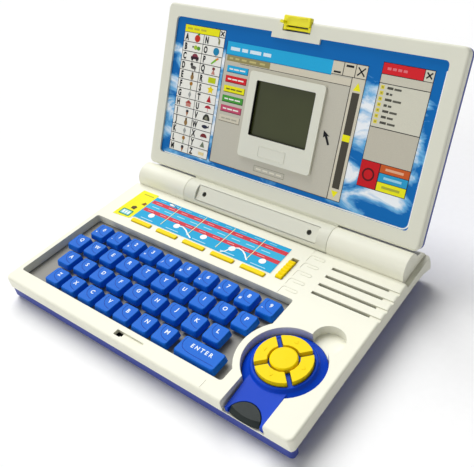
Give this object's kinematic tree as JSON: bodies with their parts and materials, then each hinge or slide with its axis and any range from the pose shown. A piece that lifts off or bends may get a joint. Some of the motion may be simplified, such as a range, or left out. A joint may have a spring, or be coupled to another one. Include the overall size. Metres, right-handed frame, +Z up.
{
  "type": "toy laptop computer",
  "caption": "Toy laptop: wedge base with letter keys and a lift-out round mouse, and a hinged lid with a small display in a printed screen.",
  "frame": {"origin": "middle of the bounding box in X and Y, on the plane the feet stand on", "axes": "+X to the right along the keyboard rows, +Y from the front rim to the hinge, +Z up"},
  "size_m": [0.241, 0.2102, 0.156],
  "materials": {
    "cream_plastic": "fine matte moulded ABS, slightly glossy on the rims",
    "casing_blue": "fine matte moulded ABS",
    "mouse_blue": "satin moulded ABS",
    "key_blue": "satin moulded caps with printed legends",
    "yellow_plastic": "satin moulded plastic",
    "gray_plastic": "matte plate",
    "dark_gray_plastic": "matte, fine grain",
    "display_olive": "display glass over a dark olive cell",
    "circuit_board": "board with parts, inside",
    "membrane_rubber": "silicone mat, inside",
    "speaker_black": "paper cone in a frame, inside"
  },
  "bodies": {
    "base": {"base_top_casing": "cream_plastic", "base_bottom_casing": "casing_blue", "battery_cover": "casing_blue", "key_bed": "gray_plastic", "key_membrane": "membrane_rubber", "main_board": "circuit_board", "speaker": "speaker_black"},
    "lid": {"lid_front_casing": "cream_plastic", "lid_back_casing": "casing_blue", "lcd_module": "display_olive", "hinge_cover": "cream_plastic"},
    "mouse": {"mouse_top_shell": "mouse_blue", "mouse_bottom_shell": "mouse_blue"},
    "lid_latch": {"latch": "yellow_plastic"},
    "slider_knob": {"volume_slider": "yellow_plastic"},
    "mode_button_1_cap": {"mode_button_1": "yellow_plastic"},
    "mode_button_2_cap": {"mode_button_2": "yellow_plastic"},
    "mode_button_3_cap": {"mode_button_3": "yellow_plastic"},
    "mode_button_4_cap": {"mode_button_4": "yellow_plastic"},
    "mode_button_5_cap": {"mode_button_5": "yellow_plastic"},
    "select_button_cap": {"select_button": "yellow_plastic"},
    "arrow_ring_cap": {"arrow_ring": "yellow_plastic"},
    "thumb_button_cap": {"thumb_button": "dark_gray_plastic"},
    "key_0_cap": {"key_0": "key_blue"},
    "key_1_cap": {"key_1": "key_blue"},
    "key_2_cap": {"key_2": "key_blue"},
    "key_3_cap": {"key_3": "key_blue"},
    "key_4_cap": {"key_4": "key_blue"},
    "key_5_cap": {"key_5": "key_blue"},
    "key_6_cap": {"key_6": "key_blue"},
    "key_7_cap": {"key_7": "key_blue"},
    "key_8_cap": {"key_8": "key_blue"},
    "key_9_cap": {"key_9": "key_blue"},
    "key_q_cap": {"key_q": "key_blue"},
    "key_w_cap": {"key_w": "key_blue"},
    "key_e_cap": {"key_e": "key_blue"},
    "key_r_cap": {"key_r": "key_blue"},
    "key_t_cap": {"key_t": "key_blue"},
    "key_y_cap": {"key_y": "key_blue"},
    "key_u_cap": {"key_u": "key_blue"},
    "key_i_cap": {"key_i": "key_blue"},
    "key_o_cap": {"key_o": "key_blue"},
    "key_p_cap": {"key_p": "key_blue"},
    "key_a_cap": {"key_a": "key_blue"},
    "key_s_cap": {"key_s": "key_blue"},
    "key_d_cap": {"key_d": "key_blue"},
    "key_f_cap": {"key_f": "key_blue"},
    "key_g_cap": {"key_g": "key_blue"},
    "key_h_cap": {"key_h": "key_blue"},
    "key_j_cap": {"key_j": "key_blue"},
    "key_k_cap": {"key_k": "key_blue"},
    "key_l_cap": {"key_l": "key_blue"},
    "key_z_cap": {"key_z": "key_blue"},
    "key_x_cap": {"key_x": "key_blue"},
    "key_c_cap": {"key_c": "key_blue"},
    "key_v_cap": {"key_v": "key_blue"},
    "key_b_cap": {"key_b": "key_blue"},
    "key_n_cap": {"key_n": "key_blue"},
    "key_m_cap": {"key_m": "key_blue"},
    "key_enter_cap": {"key_enter": "key_blue"}
  },
  "joints": [
    {"name": "lid_hinge", "type": "hinge", "parent": "base", "child": "lid", "pos_m": [0, 0.0365, 0.02784], "axis": [-1, 0, 0], "range_deg": [-116.5, 7]},
    {"name": "mouse_lift", "type": "slide", "parent": "base", "child": "mouse", "axis": [0, -0.0349, 0.9994], "range_m": [0, 0.045]},
    {"name": "latch_release", "type": "hinge", "parent": "lid", "child": "lid_latch", "pos_m": [0, 0.09359, 0.14732], "axis": [-1, 0, 0], "range_deg": [0, 6], "stiffness_Nm_per_rad": 0.4, "springref_deg": -5.73},
    {"name": "volume_slide", "type": "slide", "parent": "base", "child": "slider_knob", "axis": [0, 0.9994, 0.0349], "range_m": [0, 0.003]},
    {"name": "mode_press_1", "type": "slide", "parent": "base", "child": "mode_button_1_cap", "axis": [0, 0.0349, -0.9994], "range_m": [0, 0.0012], "stiffness_N_per_m": 300, "springref_m": -0.001},
    {"name": "mode_press_2", "type": "slide", "parent": "base", "child": "mode_button_2_cap", "axis": [0, 0.0349, -0.9994], "range_m": [0, 0.0012], "stiffness_N_per_m": 300, "springref_m": -0.001},
    {"name": "mode_press_3", "type": "slide", "parent": "base", "child": "mode_button_3_cap", "axis": [0, 0.0349, -0.9994], "range_m": [0, 0.0012], "stiffness_N_per_m": 300, "springref_m": -0.001},
    {"name": "mode_press_4", "type": "slide", "parent": "base", "child": "mode_button_4_cap", "axis": [0, 0.0349, -0.9994], "range_m": [0, 0.0012], "stiffness_N_per_m": 300, "springref_m": -0.001},
    {"name": "mode_press_5", "type": "slide", "parent": "base", "child": "mode_button_5_cap", "axis": [0, 0.0349, -0.9994], "range_m": [0, 0.0012], "stiffness_N_per_m": 300, "springref_m": -0.001},
    {"name": "select_button_press", "type": "slide", "parent": "mouse", "child": "select_button_cap", "axis": [0, 0.0349, -0.9994], "range_m": [0, 0.0008], "stiffness_N_per_m": 300, "springref_m": -0.001},
    {"name": "arrow_ring_press", "type": "slide", "parent": "mouse", "child": "arrow_ring_cap", "axis": [0, 0.0349, -0.9994], "range_m": [0, 0.0008], "stiffness_N_per_m": 300, "springref_m": -0.001},
    {"name": "thumb_button_press", "type": "slide", "parent": "mouse", "child": "thumb_button_cap", "axis": [0, 0.0349, -0.9994], "range_m": [0, 0.0008], "stiffness_N_per_m": 300, "springref_m": -0.001},
    {"name": "key_0_press", "type": "slide", "parent": "base", "child": "key_0_cap", "axis": [0, 0.0349, -0.9994], "range_m": [0, 0.0015], "stiffness_N_per_m": 200, "springref_m": -0.001},
    {"name": "key_1_press", "type": "slide", "parent": "base", "child": "key_1_cap", "axis": [0, 0.0349, -0.9994], "range_m": [0, 0.0015], "stiffness_N_per_m": 200, "springref_m": -0.001},
    {"name": "key_2_press", "type": "slide", "parent": "base", "child": "key_2_cap", "axis": [0, 0.0349, -0.9994], "range_m": [0, 0.0015], "stiffness_N_per_m": 200, "springref_m": -0.001},
    {"name": "key_3_press", "type": "slide", "parent": "base", "child": "key_3_cap", "axis": [0, 0.0349, -0.9994], "range_m": [0, 0.0015], "stiffness_N_per_m": 200, "springref_m": -0.001},
    {"name": "key_4_press", "type": "slide", "parent": "base", "child": "key_4_cap", "axis": [0, 0.0349, -0.9994], "range_m": [0, 0.0015], "stiffness_N_per_m": 200, "springref_m": -0.001},
    {"name": "key_5_press", "type": "slide", "parent": "base", "child": "key_5_cap", "axis": [0, 0.0349, -0.9994], "range_m": [0, 0.0015], "stiffness_N_per_m": 200, "springref_m": -0.001},
    {"name": "key_6_press", "type": "slide", "parent": "base", "child": "key_6_cap", "axis": [0, 0.0349, -0.9994], "range_m": [0, 0.0015], "stiffness_N_per_m": 200, "springref_m": -0.001},
    {"name": "key_7_press", "type": "slide", "parent": "base", "child": "key_7_cap", "axis": [0, 0.0349, -0.9994], "range_m": [0, 0.0015], "stiffness_N_per_m": 200, "springref_m": -0.001},
    {"name": "key_8_press", "type": "slide", "parent": "base", "child": "key_8_cap", "axis": [0, 0.0349, -0.9994], "range_m": [0, 0.0015], "stiffness_N_per_m": 200, "springref_m": -0.001},
    {"name": "key_9_press", "type": "slide", "parent": "base", "child": "key_9_cap", "axis": [0, 0.0349, -0.9994], "range_m": [0, 0.0015], "stiffness_N_per_m": 200, "springref_m": -0.001},
    {"name": "key_q_press", "type": "slide", "parent": "base", "child": "key_q_cap", "axis": [0, 0.0349, -0.9994], "range_m": [0, 0.0015], "stiffness_N_per_m": 200, "springref_m": -0.001},
    {"name": "key_w_press", "type": "slide", "parent": "base", "child": "key_w_cap", "axis": [0, 0.0349, -0.9994], "range_m": [0, 0.0015], "stiffness_N_per_m": 200, "springref_m": -0.001},
    {"name": "key_e_press", "type": "slide", "parent": "base", "child": "key_e_cap", "axis": [0, 0.0349, -0.9994], "range_m": [0, 0.0015], "stiffness_N_per_m": 200, "springref_m": -0.001},
    {"name": "key_r_press", "type": "slide", "parent": "base", "child": "key_r_cap", "axis": [0, 0.0349, -0.9994], "range_m": [0, 0.0015], "stiffness_N_per_m": 200, "springref_m": -0.001},
    {"name": "key_t_press", "type": "slide", "parent": "base", "child": "key_t_cap", "axis": [0, 0.0349, -0.9994], "range_m": [0, 0.0015], "stiffness_N_per_m": 200, "springref_m": -0.001},
    {"name": "key_y_press", "type": "slide", "parent": "base", "child": "key_y_cap", "axis": [0, 0.0349, -0.9994], "range_m": [0, 0.0015], "stiffness_N_per_m": 200, "springref_m": -0.001},
    {"name": "key_u_press", "type": "slide", "parent": "base", "child": "key_u_cap", "axis": [0, 0.0349, -0.9994], "range_m": [0, 0.0015], "stiffness_N_per_m": 200, "springref_m": -0.001},
    {"name": "key_i_press", "type": "slide", "parent": "base", "child": "key_i_cap", "axis": [0, 0.0349, -0.9994], "range_m": [0, 0.0015], "stiffness_N_per_m": 200, "springref_m": -0.001},
    {"name": "key_o_press", "type": "slide", "parent": "base", "child": "key_o_cap", "axis": [0, 0.0349, -0.9994], "range_m": [0, 0.0015], "stiffness_N_per_m": 200, "springref_m": -0.001},
    {"name": "key_p_press", "type": "slide", "parent": "base", "child": "key_p_cap", "axis": [0, 0.0349, -0.9994], "range_m": [0, 0.0015], "stiffness_N_per_m": 200, "springref_m": -0.001},
    {"name": "key_a_press", "type": "slide", "parent": "base", "child": "key_a_cap", "axis": [0, 0.0349, -0.9994], "range_m": [0, 0.0015], "stiffness_N_per_m": 200, "springref_m": -0.001},
    {"name": "key_s_press", "type": "slide", "parent": "base", "child": "key_s_cap", "axis": [0, 0.0349, -0.9994], "range_m": [0, 0.0015], "stiffness_N_per_m": 200, "springref_m": -0.001},
    {"name": "key_d_press", "type": "slide", "parent": "base", "child": "key_d_cap", "axis": [0, 0.0349, -0.9994], "range_m": [0, 0.0015], "stiffness_N_per_m": 200, "springref_m": -0.001},
    {"name": "key_f_press", "type": "slide", "parent": "base", "child": "key_f_cap", "axis": [0, 0.0349, -0.9994], "range_m": [0, 0.0015], "stiffness_N_per_m": 200, "springref_m": -0.001},
    {"name": "key_g_press", "type": "slide", "parent": "base", "child": "key_g_cap", "axis": [0, 0.0349, -0.9994], "range_m": [0, 0.0015], "stiffness_N_per_m": 200, "springref_m": -0.001},
    {"name": "key_h_press", "type": "slide", "parent": "base", "child": "key_h_cap", "axis": [0, 0.0349, -0.9994], "range_m": [0, 0.0015], "stiffness_N_per_m": 200, "springref_m": -0.001},
    {"name": "key_j_press", "type": "slide", "parent": "base", "child": "key_j_cap", "axis": [0, 0.0349, -0.9994], "range_m": [0, 0.0015], "stiffness_N_per_m": 200, "springref_m": -0.001},
    {"name": "key_k_press", "type": "slide", "parent": "base", "child": "key_k_cap", "axis": [0, 0.0349, -0.9994], "range_m": [0, 0.0015], "stiffness_N_per_m": 200, "springref_m": -0.001},
    {"name": "key_l_press", "type": "slide", "parent": "base", "child": "key_l_cap", "axis": [0, 0.0349, -0.9994], "range_m": [0, 0.0015], "stiffness_N_per_m": 200, "springref_m": -0.001},
    {"name": "key_z_press", "type": "slide", "parent": "base", "child": "key_z_cap", "axis": [0, 0.0349, -0.9994], "range_m": [0, 0.0015], "stiffness_N_per_m": 200, "springref_m": -0.001},
    {"name": "key_x_press", "type": "slide", "parent": "base", "child": "key_x_cap", "axis": [0, 0.0349, -0.9994], "range_m": [0, 0.0015], "stiffness_N_per_m": 200, "springref_m": -0.001},
    {"name": "key_c_press", "type": "slide", "parent": "base", "child": "key_c_cap", "axis": [0, 0.0349, -0.9994], "range_m": [0, 0.0015], "stiffness_N_per_m": 200, "springref_m": -0.001},
    {"name": "key_v_press", "type": "slide", "parent": "base", "child": "key_v_cap", "axis": [0, 0.0349, -0.9994], "range_m": [0, 0.0015], "stiffness_N_per_m": 200, "springref_m": -0.001},
    {"name": "key_b_press", "type": "slide", "parent": "base", "child": "key_b_cap", "axis": [0, 0.0349, -0.9994], "range_m": [0, 0.0015], "stiffness_N_per_m": 200, "springref_m": -0.001},
    {"name": "key_n_press", "type": "slide", "parent": "base", "child": "key_n_cap", "axis": [0, 0.0349, -0.9994], "range_m": [0, 0.0015], "stiffness_N_per_m": 200, "springref_m": -0.001},
    {"name": "key_m_press", "type": "slide", "parent": "base", "child": "key_m_cap", "axis": [0, 0.0349, -0.9994], "range_m": [0, 0.0015], "stiffness_N_per_m": 200, "springref_m": -0.001},
    {"name": "key_enter_press", "type": "slide", "parent": "base", "child": "key_enter_cap", "axis": [0, 0.0349, -0.9994], "range_m": [0, 0.0015], "stiffness_N_per_m": 200, "springref_m": -0.001}
  ]
}
